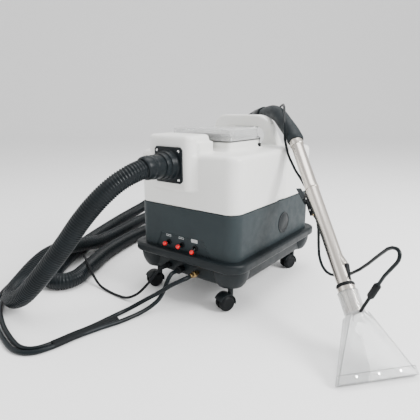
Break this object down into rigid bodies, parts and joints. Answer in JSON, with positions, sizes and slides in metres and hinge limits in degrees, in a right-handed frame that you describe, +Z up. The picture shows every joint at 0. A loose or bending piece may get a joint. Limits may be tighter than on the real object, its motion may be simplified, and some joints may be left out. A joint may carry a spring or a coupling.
{
  "type": "spot extractor",
  "caption": "Wheeled suction-and-spray spot extractor with a two-chamber tank, toggle switches, steel wand, clear nozzle and hoses.",
  "frame": {"origin": "on the floor, below the middle of the box round the machine and its wand, hoses and lead left out", "axes": "-Y is the machine's front (hose flange and switches), +X its right-hand side, +Z up"},
  "size_m": [1.6411, 1.6132, 0.6122],
  "materials": {
    "black_rubber": "matt",
    "brass": "machined",
    "bright_metal": "bright plated",
    "clear_acrylic": "clear",
    "dark_shell": "fine-textured moulding",
    "grip_plastic": "matt grained",
    "hose_plastic": "satin corrugated plastic",
    "natural_plastic": "natural, unpainted",
    "red_plastic": "gloss",
    "steel": "brushed",
    "tray_shell": "satin moulding",
    "white_shell": "satin moulded polyethylene"
  },
  "bodies": {
    "machine": {"brass_coupler": "brass", "chassis_tray": "tray_shell", "cord_gland": "black_rubber", "feed_coupler": "black_rubber", "flange_screw_1": "bright_metal", "flange_screw_2": "bright_metal", "flange_screw_3": "bright_metal", "flange_screw_4": "bright_metal", "float_cap": "natural_plastic", "hose_flange": "hose_plastic", "lid_gasket": "black_rubber", "lid_hinge_pin": "black_rubber", "lint_basket": "bright_metal", "mains_coil": "black_rubber", "mains_cord": "black_rubber", "mains_plug": "black_rubber", "motor_casing": "dark_shell", "pump_body": "tray_shell", "solution_hose_1": "hose_plastic", "solution_hose_2": "hose_plastic", "standpipe": "natural_plastic", "switch_bezel_1": "black_rubber", "switch_bezel_2": "black_rubber", "switch_bezel_3": "black_rubber", "tank_body": "white_shell", "tank_divider": "natural_plastic", "vacuum_hose": "hose_plastic", "vacuum_motor": "natural_plastic", "vent_cap": "tray_shell"},
    "wand": {"wand_tube_lower": "steel", "wand_tube_upper": "steel", "tube_collar": "steel", "wand_grip": "grip_plastic", "wand_cuff": "hose_plastic", "spray_valve": "black_rubber", "nozzle_head": "clear_acrylic", "nozzle_socket": "steel", "socket_band": "black_rubber", "wand_hose": "hose_plastic", "jet_hose": "hose_plastic", "jet_connector": "black_rubber"},
    "trigger": {"trigger_lever": "grip_plastic"},
    "lid": {"lid": "clear_acrylic"},
    "impeller": {"impeller": "bright_metal"},
    "pump_shaft": {"pump_eccentric": "bright_metal"},
    "float": {"float_ring": "red_plastic"},
    "toggle_1": {"switch_lever_1": "bright_metal", "switch_cap_1": "red_plastic"},
    "toggle_2": {"switch_lever_2": "bright_metal", "switch_cap_2": "red_plastic"},
    "toggle_3": {"switch_lever_3": "bright_metal", "switch_cap_3": "red_plastic"},
    "caster_1": {"caster_hood_1": "tray_shell"},
    "wheels_1": {"caster_wheel_1": "black_rubber"},
    "caster_2": {"caster_hood_2": "tray_shell"},
    "wheels_2": {"caster_wheel_2": "black_rubber"},
    "caster_3": {"caster_hood_3": "tray_shell"},
    "wheels_3": {"caster_wheel_3": "black_rubber"},
    "caster_4": {"caster_hood_4": "tray_shell"},
    "wheels_4": {"caster_wheel_4": "black_rubber"}
  },
  "joints": [
    {"name": "wand_lift", "type": "slide", "parent": "machine", "child": "wand", "axis": [0, 0, 1], "range_m": [0, 0.25]},
    {"name": "trigger_press", "type": "hinge", "parent": "wand", "child": "trigger", "pos_m": [0.06276, -0.00108, 0.32789], "axis": [0.6656, 0.7463, 0], "range_deg": [0, 14], "stiffness_Nm_per_rad": 0.6, "springref_deg": -2.86},
    {"name": "lid_hinge", "type": "hinge", "parent": "machine", "child": "lid", "pos_m": [-0.24523, 0.05829, 0.5051], "axis": [-1, 0, 0], "range_deg": [0, 95]},
    {"name": "impeller_spin", "type": "hinge", "parent": "machine", "child": "impeller", "pos_m": [-0.15773, -0.09171, 0.25], "axis": [0, 0, 1], "continuous": true},
    {"name": "pump_spin", "type": "hinge", "parent": "machine", "child": "pump_shaft", "pos_m": [-0.28773, 0.13829, 0.1263], "axis": [1, 0, 0], "continuous": true},
    {"name": "float_rise", "type": "slide", "parent": "machine", "child": "float", "axis": [0, 0, 1], "range_m": [0, 0.055]},
    {"name": "switch_1", "type": "hinge", "parent": "machine", "child": "toggle_1", "pos_m": [-0.29553, -0.22821, 0.183], "axis": [-1, 0, 0], "range_deg": [-20, 24]},
    {"name": "switch_2", "type": "hinge", "parent": "machine", "child": "toggle_2", "pos_m": [-0.24133, -0.22821, 0.183], "axis": [-1, 0, 0], "range_deg": [-20, 24]},
    {"name": "switch_3", "type": "hinge", "parent": "machine", "child": "toggle_3", "pos_m": [-0.18823, -0.22821, 0.183], "axis": [-1, 0, 0], "range_deg": [0, 44]},
    {"name": "caster_swivel_1", "type": "hinge", "parent": "machine", "child": "caster_1", "pos_m": [-0.38073, -0.18871, 0.06], "axis": [0, 0, 1], "continuous": true},
    {"name": "wheel_spin_1", "type": "hinge", "parent": "caster_1", "child": "wheels_1", "pos_m": [-0.38822, -0.20726, 0.025], "axis": [-0.9272, 0.3746, 0], "continuous": true},
    {"name": "caster_swivel_2", "type": "hinge", "parent": "machine", "child": "caster_2", "pos_m": [-0.38073, 0.23529, 0.06], "axis": [0, 0, 1], "continuous": true},
    {"name": "wheel_spin_2", "type": "hinge", "parent": "caster_2", "child": "wheels_2", "pos_m": [-0.38822, 0.21674, 0.025], "axis": [-0.9272, 0.3746, 0], "continuous": true},
    {"name": "caster_swivel_3", "type": "hinge", "parent": "machine", "child": "caster_3", "pos_m": [-0.08473, -0.18871, 0.06], "axis": [0, 0, 1], "continuous": true},
    {"name": "wheel_spin_3", "type": "hinge", "parent": "caster_3", "child": "wheels_3", "pos_m": [-0.09222, -0.20726, 0.025], "axis": [-0.9272, 0.3746, 0], "continuous": true},
    {"name": "caster_swivel_4", "type": "hinge", "parent": "machine", "child": "caster_4", "pos_m": [-0.08473, 0.23529, 0.06], "axis": [0, 0, 1], "continuous": true},
    {"name": "wheel_spin_4", "type": "hinge", "parent": "caster_4", "child": "wheels_4", "pos_m": [-0.09222, 0.21674, 0.025], "axis": [-0.9272, 0.3746, 0], "continuous": true}
  ]
}
